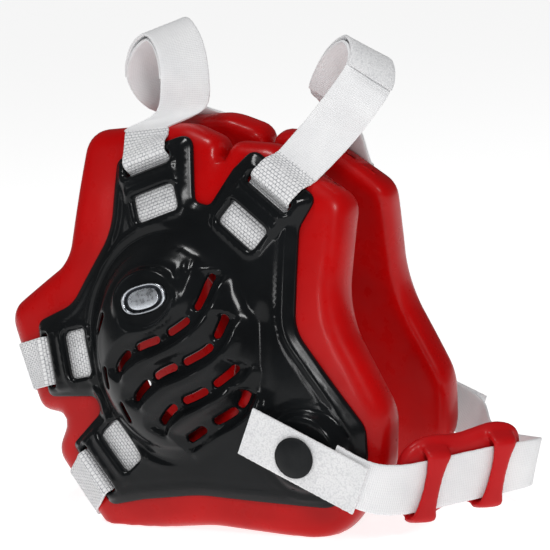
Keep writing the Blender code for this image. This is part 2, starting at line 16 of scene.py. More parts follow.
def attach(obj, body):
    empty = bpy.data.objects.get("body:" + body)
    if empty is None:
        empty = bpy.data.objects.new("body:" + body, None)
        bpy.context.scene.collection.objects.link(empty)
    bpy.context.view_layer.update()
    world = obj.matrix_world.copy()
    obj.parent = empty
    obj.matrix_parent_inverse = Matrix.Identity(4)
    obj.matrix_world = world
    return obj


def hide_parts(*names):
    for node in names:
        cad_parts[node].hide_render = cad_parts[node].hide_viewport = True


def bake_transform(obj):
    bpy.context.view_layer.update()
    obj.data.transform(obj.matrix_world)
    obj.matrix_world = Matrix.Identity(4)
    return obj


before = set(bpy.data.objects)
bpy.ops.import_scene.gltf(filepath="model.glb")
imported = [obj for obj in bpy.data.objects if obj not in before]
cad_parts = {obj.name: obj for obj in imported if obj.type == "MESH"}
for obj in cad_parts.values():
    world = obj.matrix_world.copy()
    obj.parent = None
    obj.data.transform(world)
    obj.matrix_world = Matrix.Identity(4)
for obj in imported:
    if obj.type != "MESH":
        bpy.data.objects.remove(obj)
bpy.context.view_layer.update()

MM = 0.001
RIGHT, LEFT = -1, 1
SIDES = {"right": RIGHT, "left": LEFT}

# A guard: the middle of its pad's face, how far it leans in at the top, and how the pad curves.
GUARD_X, GUARD_Y, GUARD_Z = -21.8, 43.5, 71.6
GUARD_LEAN = radians(8.3)
FORE_AFT_RADIUS, UPRIGHT_RADIUS = 300.0, 400.0

PAD_THICKNESS = 17.0
PAD_RIM_POWER = 2.9
PAD_SHRINK = 0.25
PAD_STEP, PAD_SPACING = 2.0, 3.4
EAR_HOLE = (23.0, 31.0)
EAR_HOLE_TILT = radians(9)

# The shell stands SHELL_LIFT off the pad, and its edge comes down to SHELL_EDGE_LIFT.
SHELL_LIFT, SHELL_EDGE_LIFT, SHELL_THICKNESS = 2.1, 0.3, 1.8
SHELL_LIP_WIDTH = 4.0
SHELL_STEP, SHELL_SPACING = 1.0, 1.3
CUP_CENTRE = (0.5, -0.5)
CUP_SEMI_AXES = (34.0, 41.5)
CUP_TILT = radians(9)
CUP_HEIGHT = 13.5
CUP_FOOT = 0.09
CUP_GRID_REACH, CUP_GRID_SPACING = 45.0, 0.85
CHANNEL_DEPTH, CHANNEL_LIP = 3.0, 0.7
VENT_WIDTH, FLANK_SLOT_WIDTH = 2.8, 2.2
RIB_HEIGHT, RIB_HALF_WIDTH, RIB_HALF_LENGTH = 0.75, 0.75, 2.3
TAB_BAR_HEIGHT = 1.7
EDGE_ROUNDING = 0.95

WEB_WIDTH, WEB_THICKNESS = 19.0, 1.3
SLOT_SIZE, SLOT_SHIFT = (20.6, 4.2), 0.7
WINDOW_SIZE = (18.3, 10.2)
WINDOW_INSET = 14.8
RIM_CLEARANCE = 1.25
LAP_LIFT = 2.2

# The snap, and the distance of its flat seat on the shell from the plane y = 0.
SNAP_U, SNAP_V = 55.0, -37.4
SEAT_Y = 50.0
SEAT_RADIUS, SEAT_FADE = 12.5, 4.0
TAB_LENGTH, TAB_THICKNESS = 49.0, 1.4
TAB_SLOPE = radians(-23.7)
TAB_BEHIND_SNAP = 21.5
# Where, ahead of the snap, the tab leaves off following the chin strap and follows the snap.
SOCKET_START, TAB_START, CAP_START = 51.2, 54.0, 55.7
SNAP_SEGMENTS = 56

BADGE_CENTRE = (-2.5, 18.0)
BADGE_SEMI_AXES = (1.07 * 8.9, 1.07 * 4.9)
BADGE_TILT = radians(15)
BADGE_SEGMENTS = 72
# The badge's seat on the cup is centred a little further back than the badge.
SEAT_CENTRE, SEAT_SEMI_AXES = (-4.0, 18.0), (12.0, 9.6)
BADGE_SEAT_LIFT = 15.2

# Outlines: corners (u, v, corner radius), anticlockwise with forward to the right.
PAD_CORNERS = [
    (64.5, 13, 45), (82.6, -22, 20), (81.2, -44, 16), (61, -72, 20), (12, -68.5, 60), (-36, -74, 8),
    (-60, -44.5, 8), (-52.5, -30, 4), (-67, -28.5, 6), (-85, 10, 9), (-52.5, 30.5, 14), (-46.5, 81, 10),
    (0, 83.5, 20), (16, 77, 7), (15.3, 65.5, 1.5), (20, 76.5, 5), (37, 75, 14), (67, 54.5, 9),
]
SHELL_CORNERS = [
    (50, 7, 16), (75.5, -28, 9), (76, -41, 10), (64, -58.5, 10), (10, -56, 60), (-15, -59.5, 14),
    (-30.5, -63, 4), (-47.4, -40.4, 2.5), (-32, -26.5, 4.5), (-35, -21, 4), (-59, -22.5, 3.5),
    (-64.5, 6.5, 4), (-46, 14, 14), (-28, 42, 26), (-27.5, 69.5, 4), (5, 79.5, 5), (8.3, 53.5, 3),
    (15, 52, 3), (23.5, 65.5, 6), (31, 73, 4), (56.5, 55, 4), (50.5, 44, 8),
]
# Strap tabs: the slot's centre (u, v) and the direction in which the strap leaves.
TABS = {
    "crown": ((-12.0, 67.0), radians(108.4)),
    "front": ((39.0, 56.5), radians(51.9)),
    "upper_rear": ((-56.0, -8.0), radians(192.5)),
    "lower_rear": ((-33.5, -48.5), radians(220.3)),
}
# Swirling channels of the ear cup, from the upper front end to the lower rear end, and the shares of
# each channel's length between which it is open.
CHANNELS = [
    ([(20, 29.5), (18.7, 24), (17.6, 18), (15, 12), (10, 7.5), (2.5, 3.2), (-4, 0.8), (-10, -2.2),
      (-15.5, -7), (-18.5, -13)], [(0.06, 0.24), (0.34, 0.46), (0.56, 0.70), (0.79, 0.92)]),
    ([(26.5, 14), (25.2, 9), (23.8, 4.5), (21.2, 0), (16.6, -3.2), (11, -6), (4, -9), (-2, -13),
      (-8, -18.5), (-10.5, -23)], [(0.05, 0.17), (0.26, 0.44), (0.53, 0.68), (0.77, 0.92)]),
    ([(31, -3.5), (29, -7.5), (25.2, -11.3), (21, -14.6), (16, -17.6), (10.6, -20), (5.4, -23.6),
      (0.7, -28.5), (-1.8, -33)], [(0.09, 0.27), (0.38, 0.56), (0.68, 0.86)]),
    ([(32.3, -14.5), (30.2, -20), (25.6, -24.4), (19, -28.4), (12.7, -32.6), (6.5, -36.4)],
     [(0.06, 0.2), (0.30, 0.5), (0.68, 0.88)]),
]
# Small openings low on the cup's rear flank.
FLANK_SLOTS = [[(-24.5, 11), (-27, 5)], [(-23, -9), (-22.5, -15.5)], [(-15.5, -22), (-13.5, -28)]]
# Short ribs above the first channel: the middle (u, v) and the direction of each.
RIBS = [((8.6, 27.6), radians(112)), ((11.0, 29.6), radians(104)), ((13.6, 30.6), radians(96))]

# The free part of each head loop: (x, y, z) along its middle and the direction across the webbing.
CROWN_LOOP = [
    ((-28, -13.5, 156.5), (0.87, 0.48, 0.0)), ((-26, -12, 169), (0.70, 0.70, -0.05)),
    ((-30.5, -7, 181), (0.64, 0.74, 0.10)), ((-40, 0, 187.5), (0.59, 0.76, 0.26)),
    ((-51, 7, 181.5), (0.62, 0.74, 0.20)), ((-57, 12, 169), (0.68, 0.70, 0.10)),
    ((-51, 14, 157.5), (0.80, 0.52, 0.10)),
]
FRONT_LOOP = [
    ((35.5, -15.5, 147.5), (0.76, 0.31, -0.57)), ((45, -14, 158), (0.75, 0.31, -0.58)),
    ((50, -8.5, 167.5), (0.69, 0.42, -0.59)), ((44, 0.5, 174.5), (0.68, 0.50, -0.53)),
    ((31, 9, 168), (0.70, 0.42, -0.58)), ((22, 13.5, 156), (0.74, 0.33, -0.58)),
    ((23.5, 15.5, 149), (0.76, 0.20, -0.60)),
]
# The rear straps' free part: y, and how far the strap bulges to the rear there.
REAR_STATIONS = ((-9, 2.3), (0, 2.7), (9, 2.3))
STRAP_DETAIL = 5
LOOP_WRAP, REAR_WRAP = radians(40), 0.0
LOOP_LAP, REAR_LAP = 2, 1
# How far each side of the middle plane a strap starts to follow only the guard on that side.
LOOP_BLEND, REAR_BLEND = 15.0, 20.0

# The chin strap: (x, y, z) along its middle and the direction across the webbing.
CHIN_ROUTE = [
    ((45.5, -52.2, 30.8), (0.40, 0, 0.92)), ((58, -52.0, 25.3), (0.38, 0, 0.92)),
    ((66, -46, 22.3), (0.25, 0.10, 0.96)), ((74, -36.5, 21.5), (0.16, 0.05, 0.98)),
    ((88, -20.5, 22.5), (0.14, 0.02, 0.99)), ((100, -5, 22.6), (0.20, 0, 0.98)),
    ((102, 3, 22), (0.24, 0, 0.97)), ((97, 11, 20), (0.25, 0, 0.97)),
    ((83, 23, 17.8), (0.28, 0, 0.96)), ((68.5, 36, 18), (0.32, 0, 0.95)),
    ((59, 49, 23.5), (0.38, 0, 0.92)), ((45.5, 52.2, 30.8), (0.40, 0, 0.92)),
]
CHIN_SAMPLES = 12
CHIN_PAD_SPAN = (27.5, 79.0)
CHIN_PAD_THICKNESS, CHIN_PAD_GAP = 8.0, 0.6
CHIN_BAR_PLACES = (39.5, 66.0)
CHIN_BAR_REACH, CHIN_BAR_THICKNESS = 14.2, 2.8

# The studio, in metres. Each softbox has a name, a place, a size and a power in watts.
FLOOR_REACH, FLOOR_Z = 6.0, -0.0004
LIGHT_AIM = Vector((0, 0, 0.08))
SOFTBOXES = [
    ("key", (0.85, -1.0, 0.9), (0.24, 0.34), 7.0), ("top", (-0.1, -0.35, 1.35), (0.3, 0.2), 6.0),
    ("fill", (-1.0, -0.95, 0.45), (0.10, 0.4), 0.4), ("front", (0.1, -1.4, 0.25), (0.1, 0.3), 1.3),
]
CAMERA_BACK, CAMERA_RIGHT = Vector((0.4744, -0.8637, 0.1704)), Vector((0.8801, 0.4695, -0.0708))
CAMERA_AIM, CAMERA_DISTANCE = Vector((0.0002, 0.0, 0.0905)), 0.8
CAMERA_LENS, CAMERA_SENSOR = 136.0, 36.0

# A webbing's section: places across its half width, and the share of its thickness at each.
HALF_SECTION = [
    (0, 0.9), (0.2, 0.9), (0.4, 0.9), (0.6, 0.9), (0.8, 0.92), (0.93, 1), (0.985, 0.75), (1, 0.35),
]
BAND_SECTION = [(-a, t) for a, t in HALF_SECTION[:0:-1]] + HALF_SECTION

# Meshing: a loop's fewest points, and how many points are measured at once. A ring's points keep this
# share of its depth from every edge, and this share of the spacing from each other.
LEAST_LOOP_POINTS, BATCH = 12, 2000
RING_KEPT, LEAST_GAP = 0.96, 0.45


# Plane geometry


def rounded_outline(corners, step=1.2):
    """A closed polygon's points, each corner replaced by an arc of its radius."""
    points = []
    count = len(corners)
    for i, (u, v, radius) in enumerate(corners):
        here = Vector((u, v))
        back = Vector(corners[i - 1][:2]) - here
        ahead = Vector(corners[(i + 1) % count][:2]) - here
        half = back.angle(ahead) / 2
        reach = min(radius / tan(half), 0.48 * back.length, 0.48 * ahead.length)
        start, end = here + reach * back.normalized(), here + reach * ahead.normalized()
        pieces = max(5, int((end - start).length / step) + 1)
        points += interpolate_bezier(
            start.to_3d(), start.lerp(here, 0.6).to_3d(), end.lerp(here, 0.6).to_3d(), end.to_3d(), pieces
        )
    return np.array([(p.x, p.y) for p in points])


def resampled(loop, step):
    """A closed loop with its points spread evenly."""
    closed = np.vstack([loop, loop[:1]])
    run = distance_along(closed)
    places = np.linspace(0, run[-1], max(LEAST_LOOP_POINTS, int(run[-1] / step)), endpoint=False)
    return np.column_stack([np.interp(places, run, closed[:, k]) for k in (0, 1)])


def is_inside(points, loop):
    """Which points lie inside a closed loop."""
    x, y = points[:, :1], points[:, 1:]
    a, b = loop, np.roll(loop, -1, axis=0)
    rise = np.where(a[:, 1] == b[:, 1], 1e-9, b[:, 1] - a[:, 1])
    crossed = ((a[:, 1] > y) != (b[:, 1] > y)) & (x < (b[:, 0] - a[:, 0]) * (y - a[:, 1]) / rise + a[:, 0])
    return crossed.sum(1) % 2 == 1


def distance_to(points, line, closed=True):
    """Distance, side (1 on the left, -1 on the right) and share of the length for points by a polyline."""
    a = line if closed else line[:-1]
    b = np.roll(line, -1, axis=0) if closed else line[1:]
    ab = b - a
    long = np.hypot(*ab.T)
    run = np.concatenate([[0], np.cumsum(long)])
    nearest, side, share = (np.empty(len(points)) for _ in range(3))
    for s in range(0, len(points), BATCH):
        batch = slice(s, s + BATCH)
        p = points[batch, None, :]
        t = np.clip(((p - a) * ab).sum(2) / np.maximum(long ** 2, 1e-12), 0, 1)
        off = p - (a + ab * t[..., None])
        far = np.hypot(off[..., 0], off[..., 1])
        k = far.argmin(1)
        rows = np.arange(len(k))
        nearest[batch] = far[rows, k]
        side[batch] = np.sign(ab[k, 0] * off[rows, k, 1] - ab[k, 1] * off[rows, k, 0])
        share[batch] = (run[k] + t[rows, k] * long[k]) / run[-1]
    return nearest, side, share


def reach_along(outline, start, direction):
    """How far a ray from start runs before it leaves the closed polyline for the last time."""
    a = outline - start
    b = np.roll(outline, -1, axis=0) - start
    across = np.array([-direction[1], direction[0]])
    sa, sb = a @ across, b @ across
    crossing = (sa > 0) != (sb > 0)
    t = sa[crossing] / (sa[crossing] - sb[crossing])
    return ((a[crossing] + (b - a)[crossing] * t[:, None]) @ direction).max()


PAD_OUTLINE = rounded_outline(PAD_CORNERS)
SHELL_OUTLINE = rounded_outline(SHELL_CORNERS)


def smooth(t):
    """0 below 0, 1 above 1 and a smooth step between them."""
    t = np.clip(t, 0.0, 1.0)
    return t * t * (3 - 2 * t)


def bell(value, centre, width):
    """A bump of height 1 round a centre."""
    return np.exp(-(((value - centre) / width) ** 2))


def squared(value, power):
    """A sine or cosine pushed towards 1 and -1, which squares an oval up."""
    return np.sign(value) * abs(value) ** power


def full_turn(count):
    return 2 * pi * np.arange(count) / count


def unit(vectors):
    return vectors / np.linalg.norm(vectors, axis=1)[:, None]


def left_of(vectors):
    """Unit directions a quarter turn anticlockwise from these."""
    return unit(np.column_stack([-vectors[:, 1], vectors[:, 0]]))


def distance_along(line):
    """The distance of each of a line's points from its start, along it."""
    return np.concatenate([[0], np.cumsum(np.linalg.norm(np.diff(line, axis=0), axis=1))])


def split_along(u, v, centre, angle):
    """How far places are from a centre, along a direction and across it."""
    du, dv = u - centre[0], v - centre[1]
    return du * cos(angle) + dv * sin(angle), dv * cos(angle) - du * sin(angle)


def placed(along, across, centre, angle):
    """The places this far from a centre, along a direction and across it."""
    u = centre[0] + along * cos(angle) - across * sin(angle)
    return u, centre[1] + along * sin(angle) + across * cos(angle)


def oval_share(u, v, centre, semi_axes, tilt):
    """0 at an oval's middle, 1 on its edge and more outside it."""
    along, across = split_along(u, v, centre, tilt)
    return np.hypot(along / semi_axes[0], across / semi_axes[1])


def thinned(points, reach):
    """The points without those closer than reach to an earlier one."""
    cells, kept = {}, []
    for p in points:
        i, j = int(p[0] // reach), int(p[1] // reach)
        near = (q for a in (-1, 0, 1) for b in (-1, 0, 1) for q in cells.get((i + a, j + b), ()))
        if all(hypot(p[0] - q[0], p[1] - q[1]) >= reach for q in near):
            cells.setdefault((i, j), []).append(p)
            kept.append(p)
    return np.array(kept).reshape(-1, 2)


def rings_inside(loops, depths, step):
    """Points just inside every edge of a plate, at each of the depths."""
    rings = []
    for depth in depths:
        level = []
        for k, loop in enumerate(loops):
            a, b = loop, np.roll(loop, -1, axis=0)
            turn = np.sign((a[:, 0] * b[:, 1] - b[:, 0] * a[:, 1]).sum()) * (1 if k == 0 else -1)
            level.append(loop + left_of(b - np.roll(loop, 1, axis=0)) * turn * depth)
        level = np.vstack(level)
        gap = np.min([distance_to(level, other)[0] for other in loops], axis=0)
        rings.append(thinned(level[gap > RING_KEPT * depth], LEAST_GAP * step))
    return rings


def grid_points(low, high, spacing):
    """A grid of even triangles over a rectangle."""
    rows = np.arange(low[1], high[1], spacing * 0.866)
    columns = np.arange(low[0], high[0], spacing)
    return np.array([(x + (j % 2) * spacing / 2, y) for j, y in enumerate(rows) for x in columns])


def plate(outer, holes, step, depths, spacing, fine=None):
    """A flat plate with holes: points, triangles, boundary edges and each point's distance to each loop.

    Rings of points run just inside every edge at the given depths, so that an edge can be rounded.
    fine is (centre, radius, spacing) for a closer grid.
    """
    loops = [resampled(outer, step)] + [resampled(hole, step) for hole in holes]
    rim = np.vstack(loops)
    edges, first = [], 0
    for loop in loops:
        edges += [(first + i, first + (i + 1) % len(loop)) for i in range(len(loop))]
        first += len(loop)
    rings = rings_inside(loops, depths, step)
    low, high = loops[0].min(0), loops[0].max(0)
    inner = grid_points(low, high, spacing)
    if fine:
        centre, radius, fine_spacing = fine
        inner = inner[np.hypot(*(inner - centre).T) > radius]
        closer = grid_points(low, high, fine_spacing)
        inner = np.vstack([inner, closer[np.hypot(*(closer - centre).T) <= radius]])
    inner = inner[is_inside(inner, loops[0])]
    gap = np.min([distance_to(inner, loop)[0] for loop in loops], axis=0)
    inner = inner[gap > depths[-1] + LEAST_GAP * (fine_spacing if fine else spacing)]

    made = delaunay_2d_cdt([Vector(p) for p in np.vstack([rim, *rings, inner])], edges, [], 0, 1e-4)
    points = np.array([tuple(p) for p in made[0]])
    faces = np.array(made[2])
    centres = points[faces].mean(1)
    keep = is_inside(centres, loops[0])
    for loop in loops[1:]:
        keep &= ~is_inside(centres, loop)
    faces = faces[keep]
    used = np.unique(faces)
    index = np.full(len(points), -1)
    index[used] = np.arange(len(used))
    points, faces = points[used], index[faces]
    ends = np.sort(np.vstack([faces[:, [0, 1]], faces[:, [1, 2]], faces[:, [2, 0]]]), axis=1)
    unique, count = np.unique(ends, axis=0, return_counts=True)
    gaps = [distance_to(points, loop)[0] for loop in loops]
    return points, faces, unique[count == 1], gaps


# Guard geometry


def curve_rise(u, v):
    """How far the curved pad has fallen away here below the plane at its middle."""
    return u * u / (2 * FORE_AFT_RADIUS) + v * v / (2 * UPRIGHT_RADIUS)


def on_guard(side, u, v, h):
    """Points of a guard at u forward, v up along it and h outward from the pad's face."""
    w = h - curve_rise(u, v)
    y = GUARD_Y - v * sin(GUARD_LEAN) + w * cos(GUARD_LEAN)
    z = GUARD_Z + v * cos(GUARD_LEAN) + w * sin(GUARD_LEAN)
    return np.stack(np.broadcast_arrays(GUARD_X + u, side * y, z), -1)


def height_at_y(u, v, y):
    """The h of a guard's point that lies at this distance y from the middle plane."""
    return (y - GUARD_Y + v * sin(GUARD_LEAN)) / cos(GUARD_LEAN) + curve_rise(u, v)


def smooth_route(stations, samples):
    """A Catmull-Rom curve through stations, an array whose first axis is the station."""
    stations = np.asarray(stations, float)
    padded = np.concatenate([stations[:1], stations, stations[-1:]])
    route = []
    for i in range(len(stations) - 1):
        a, b, c, d = padded[i: i + 4]
        for t in np.arange(samples) / samples:
            route.append((
                (-t + 2 * t * t - t ** 3) * a + (2 - 5 * t * t + 3 * t ** 3) * b
                + (t + 4 * t * t - 3 * t ** 3) * c + (t ** 3 - t * t) * d
            ) / 2)
    route.append(stations[-1])
    return np.array(route)


# Meshes and materials


def link_object(name, data):
    obj = bpy.data.objects.new(name, data)
    bpy.context.collection.objects.link(obj)
    return obj


def ring_quads(count, size, first=0):
    """Faces between rings of size points that follow each other, the first ring starting at first."""
    return [
        (start + k, start + (k + 1) % size, start + (k + 1) % size + size, start + k + size)
        for start in range(first, first + (count - 1) * size, size)
        for k in range(size)
    ]


def make_object(name, vertices, faces, materials, sharp=None, uvs=None, index=None):
    """A smooth-shaded object from points in millimetres.

    uvs is one pair per vertex, and index is the number of the material of each face.
    """
    mesh = bpy.data.meshes.new(name)
    mesh.from_pydata([tuple(p) for p in np.asarray(vertices) * MM], [], [tuple(map(int, f)) for f in faces])
    for material in materials:
        mesh.materials.append(material)
    if index is not None:
        mesh.polygons.foreach_set("material_index", np.asarray(index, dtype=np.int32))
    if uvs is not None:
        layer = mesh.uv_layers.new(name="weave")
        corner = np.empty(len(mesh.loops), dtype=np.int32)
        mesh.loops.foreach_get("vertex_index", corner)
        layer.data.foreach_set("uv", np.asarray(uvs, dtype=np.float32)[corner].ravel())
    bm = bmesh.new()
    bm.from_mesh(mesh)
    bmesh.ops.recalc_face_normals(bm, faces=bm.faces)
    bm.to_mesh(mesh)
    bm.free()
    mesh.shade_smooth()
    if sharp is not None:
        mesh.set_sharp_from_angle(angle=sharp)
    return link_object(name, mesh)


class Shader:
    """A Principled material and short ways to add nodes to it."""

    def __init__(self, name, colour, roughness, **inputs):
        self.material = bpy.data.materials.new(name)
        self.material.use_nodes = True
        self.tree = self.material.node_tree
        self.main = self.tree.nodes["Principled BSDF"]
        self.set(Base_Color=colour, Roughness=roughness, **inputs)
        self.place = self.node("TexCoord").outputs["Object"]

    def fill(self, socket, value):
        """Link a socket to another node's output, or set its number or its colour."""
        if isinstance(value, bpy.types.NodeSocket):
            self.tree.links.new(value, socket)
        else:
            socket.default_value = (*value, 1) if isinstance(value, tuple) else value

    def feed(self, node, **inputs):
        for key, value in inputs.items():
            self.fill(node.inputs[key.replace("_", " ")], value)

    def set(self, **inputs):
        self.feed(self.main, **inputs)

    def node(self, kind, attributes=None, **inputs):
        made = self.tree.nodes.new("ShaderNode" + kind)
        for key, value in (attributes or {}).items():
            setattr(made, key, value)
        self.feed(made, **inputs)
        return made

    def noise(self, scale, detail=3.0, roughness=0.55, vector=None):
        made = self.node("TexNoise", Vector=vector or self.place, Scale=scale, Detail=detail)
        self.feed(made, Roughness=roughness)
        return made.outputs["Fac"]

    def ramp(self, source, low, high, start=0.3, end=0.7):
        """A number that runs from low to high as the source runs from start to end."""
        made = self.node("MapRange", Value=source, From_Min=start, From_Max=end, To_Min=low, To_Max=high)
        return made.outputs["Result"]

    def mix(self, factor, a, b):
        """A colour between a and b. The Mix node's colour sockets can only be told by their numbers."""
        made = self.node("Mix", {"data_type": "RGBA"})
        for number, value in ((0, factor), (6, a), (7, b)):
            self.fill(made.inputs[number], value)
        return made.outputs[2]

    def math(self, operation, a, b=0.0):
        made = self.node("Math", {"operation": operation})
        self.fill(made.inputs[0], a)
        self.fill(made.inputs[1], b)
        return made.outputs[0]

    def plus(self, a, b):
        return self.math("ADD", a, b)

    def times(self, a, b):
        return self.math("MULTIPLY", a, b)

    def cloud(self, scale, a, b):
        """Soft patches of two colours."""
        return self.mix(self.ramp(self.noise(scale), 0.0, 1.0), a, b)

    def wave(self, source, turns):
        """A sine wave of the source from 0 to 1."""
        sine = self.math("SINE", self.times(source, 2 * pi * turns))
        return self.ramp(sine, 0.0, 1.0, -1.0, 1.0)

    def arches(self, source):
        """Arches from 0 to 1, one for each unit of the source."""
        return self.math("ABSOLUTE", self.math("SINE", self.times(source, pi)))

    def bump(self, layers):
        """Bumps in a chain: each layer is (height source, strength, distance in metres)."""
        before = {}
        for source, strength, distance in layers:
            made = self.node("Bump", Height=source, Strength=strength, Distance=distance, **before)
            before = {"Normal": made.outputs["Normal"]}
        self.set(**before)


def vinyl(name, bright, dark, roughness):
    """A smooth vinyl skin over foam: cloudy colour, soft orange peel and faint scuffs."""
    s = Shader(name, bright, roughness, Coat_Weight=0.08, Coat_Roughness=0.12, Specular_IOR_Level=0.15)
    s.set(Base_Color=s.mix(s.ramp(s.noise(38.0), 0.0, 1.0, 0.3, 0.72), bright, dark))
    s.set(Roughness=s.ramp(s.noise(150.0, 4.0), roughness - 0.07, roughness + 0.1))
    s.bump([(s.noise(1400.0, 2.0), 0.08, 0.0001), (s.noise(70.0, 1.0), 0.12, 0.0006)])
    return s.material


def black_plastic():
    """Glossy moulded plastic with faint flow marks, fine scratches and handling haze."""
    s = Shader("shell_gloss_black", (0.006, 0.0065, 0.007), 0.12, Specular_IOR_Level=0.17)
    s.set(Base_Color=s.cloud(45.0, (0.0045, 0.005, 0.0055), (0.008, 0.009, 0.010)))
    stretched = s.node("Mapping", Vector=s.place)
    stretched.inputs["Scale"].default_value = (1.0, 1.0, 9.0)
    stretched.inputs["Rotation"].default_value = (0.0, radians(35), 0.0)
    scratches = s.noise(420.0, 2.0, vector=stretched.outputs["Vector"])
    haze = s.ramp(s.noise(60.0, 4.0), 0.10, 0.26, 0.35, 0.75)
    s.set(Roughness=s.plus(haze, s.ramp(scratches, 0.0, 0.08, 0.62, 0.8)))
    s.bump([(s.noise(130.0, 2.0), 0.12, 0.0004), (scratches, 0.03, 0.0001)])
    return s.material


def white_cloth(name):
    """A webbing's material and its slightly soiled colour."""
    s = Shader(name, (0.82, 0.82, 0.82), 0.9, Sheen_Weight=0.25, Sheen_Roughness=0.5)
    dirt = s.ramp(s.noise(55.0, 4.0), 0.0, 1.0, 0.3, 0.8)
    return s, s.mix(dirt, (0.88, 0.88, 0.885), (0.76, 0.765, 0.78))


def weave_place(s):
    """Millimetres across and along the webbing, and a wobble to add to them for loose threads."""
    split = s.node("SeparateXYZ", Vector=s.node("UVMap", {"uv_map": "weave"}).outputs["UV"])
    wobble = s.times(s.math("SUBTRACT", s.noise(220.0), 0.5), 0.6)
    return split.outputs["X"], split.outputs["Y"], wobble


def ribbed_webbing():
    """The plain woven face, with fine ribs across it and painted shade in the valleys between them."""
    s, base = white_cloth("web_ribbed")
    across, along, wobble = weave_place(s)
    ribs = s.wave(s.plus(along, wobble), 1.35)
    threads = s.wave(s.plus(across, wobble), 1.05)
    cloth = s.plus(s.times(ribs, 0.75), s.times(threads, 0.25))
    # The darker grey where the cloth is low is painted shade in the valleys between ribs and threads.
    s.set(Base_Color=s.mix(s.ramp(cloth, 0.0, 0.3, 0.4, 0.0), base, (0.44, 0.45, 0.47)))
    s.bump([(cloth, 0.28, 0.0003), (s.noise(2600.0), 0.3, 0.0002)])
    return s.material


def grid_webbing():
    """The open weave of the strap ends, in rows that are half a cell apart, with painted shade in its
    holes.
    """
    s, base = white_cloth("web_grid")
    across, along, wobble = weave_place(s)
    row = s.times(s.plus(along, s.times(wobble, 0.5)), 0.78)
    shift = s.times(s.math("FLOOR", row), 0.5)
    cell = s.plus(s.times(s.plus(across, wobble), 0.62), shift)
    between_cells = s.ramp(s.arches(cell), 0.0, 1.0, 0.0, 0.55)
    between_rows = s.ramp(s.arches(row), 0.0, 1.0, 0.0, 0.75)
    cloth = s.times(between_cells, between_rows)
    patchy = s.ramp(s.noise(700.0, 4.0), 0.35, 1.0, 0.35, 0.62)
    # Where the cloth is low the colour darkens to painted shade in the weave's holes, patchy across the
    # strap.
    holes = s.times(s.ramp(cloth, 1.0, 0.0, 0.05, 0.55), patchy)
    s.set(Base_Color=s.mix(holes, base, (0.22, 0.23, 0.26)))
    s.bump([(cloth, 0.6, 0.0005), (s.noise(2200.0, 4.0), 0.5, 0.0003)])
    return s.material


def pile_webbing():
    """The looped face of hook and loop webbing, with painted shade in the pits between the loops."""
    s, base = white_cloth("web_pile")
    cells = s.node("TexVoronoi", Vector=s.place, Scale=1500.0).outputs["Distance"]
    # The darker grey far from each Voronoi cell's middle is painted shade in the pits between loops.
    s.set(Base_Color=s.mix(s.ramp(cells, 0.0, 0.34, 0.4, 0.85), base, (0.42, 0.43, 0.45)))
    s.bump([(s.noise(1100.0, 5.0, 0.7), 0.6, 0.0005), (cells, 0.35, 0.0003)])
    return s.material


def metal(name, colour, roughness):
    s = Shader(name, colour, roughness, Metallic=1.0)
    s.set(Base_Color=s.cloud(160.0, colour, tuple(0.72 * c for c in colour)))
    s.set(Roughness=s.ramp(s.noise(700.0, 4.0), roughness - 0.08, roughness + 0.12))
    s.bump([(s.noise(1200.0), 0.08, 0.0001)])
    return s.material


def matt_black():
    s = Shader("snap_matt_black", (0.012, 0.013, 0.014), 0.46, Specular_IOR_Level=0.12)
    s.set(Base_Color=s.cloud(120.0, (0.009, 0.010, 0.011), (0.016, 0.017, 0.018)))
    s.set(Roughness=s.ramp(s.noise(500.0), 0.38, 0.55))
    s.bump([(s.noise(2500.0, 2.0), 0.12, 0.0001)])
    return s.material


# Pads


def pad_plate():
    """The pad's flat shape: points, faces, which points are on the rim, half thicknesses, rim distances."""
    turn = full_turn(120)
    hole = placed(EAR_HOLE[0] * np.cos(turn), EAR_HOLE[1] * np.sin(turn), CUP_CENTRE, EAR_HOLE_TILT)
    radius = PAD_THICKNESS / 2
    depths = radius * (1 - np.cos(np.radians(np.arange(9, 91, 9))))
    points, faces, rim, gaps = plate(PAD_OUTLINE, [np.column_stack(hole)], PAD_STEP, depths, PAD_SPACING)
    gap = np.min(gaps, axis=0)
    fall = np.clip(1 - gap / radius, 0, 1)
    on_rim = np.zeros(len(points), bool)
    on_rim[rim] = True
    return points, faces, on_rim, radius * (1 - fall ** PAD_RIM_POWER) ** (1 / PAD_RIM_POWER), gap


def make_pad(word, side, shape, material):
    """A foam pad in a vinyl skin, pressed flat where it stands and a little uneven all over."""
    points, faces, on_rim, rise, gap = shape
    count = len(points)
    lower = np.where(on_rim, np.arange(count), count + np.cumsum(~on_rim) - 1)
    swell, ripple = (
        np.array([noise.noise(Vector((u * scale, v * scale, seed))) for u, v in points])
        for scale, seed in ((0.035, 3.1 + side), (0.12, 9.7 - side))
    )
    soft = np.minimum(gap / 8, 1) * (0.5 * swell + 0.06 * ripple)
    middle = -PAD_THICKNESS / 2
    u, v = points.T
    top = on_guard(side, u, v, middle + rise + soft - PAD_SHRINK)
    bottom = on_guard(side, u, v, middle - rise + soft + PAD_SHRINK)[~on_rim]
    places = np.vstack([top, bottom])
    places[:, 2] = np.maximum(places[:, 2], 0.0)
    obj = make_object(f"{word}_cushion", places, np.vstack([faces, lower[faces][:, ::-1]]), [material])
    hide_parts(f"{word}_pad")
    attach(obj, f"{word}_guard")


# Shells


def tab_box(tab, size, inset, radius):
    """A rounded rectangle, wide across a strap tab, its middle this far inward from the slot."""
    centre, heading = TABS[tab]
    width, length = size
    corners = [
        (*placed(b * length / 2 - inset, -a * width / 2, centre, heading), radius)
        for a, b in ((-1, -1), (1, -1), (1, 1), (-1, 1))
    ]
    return rounded_outline(corners, step=0.8)


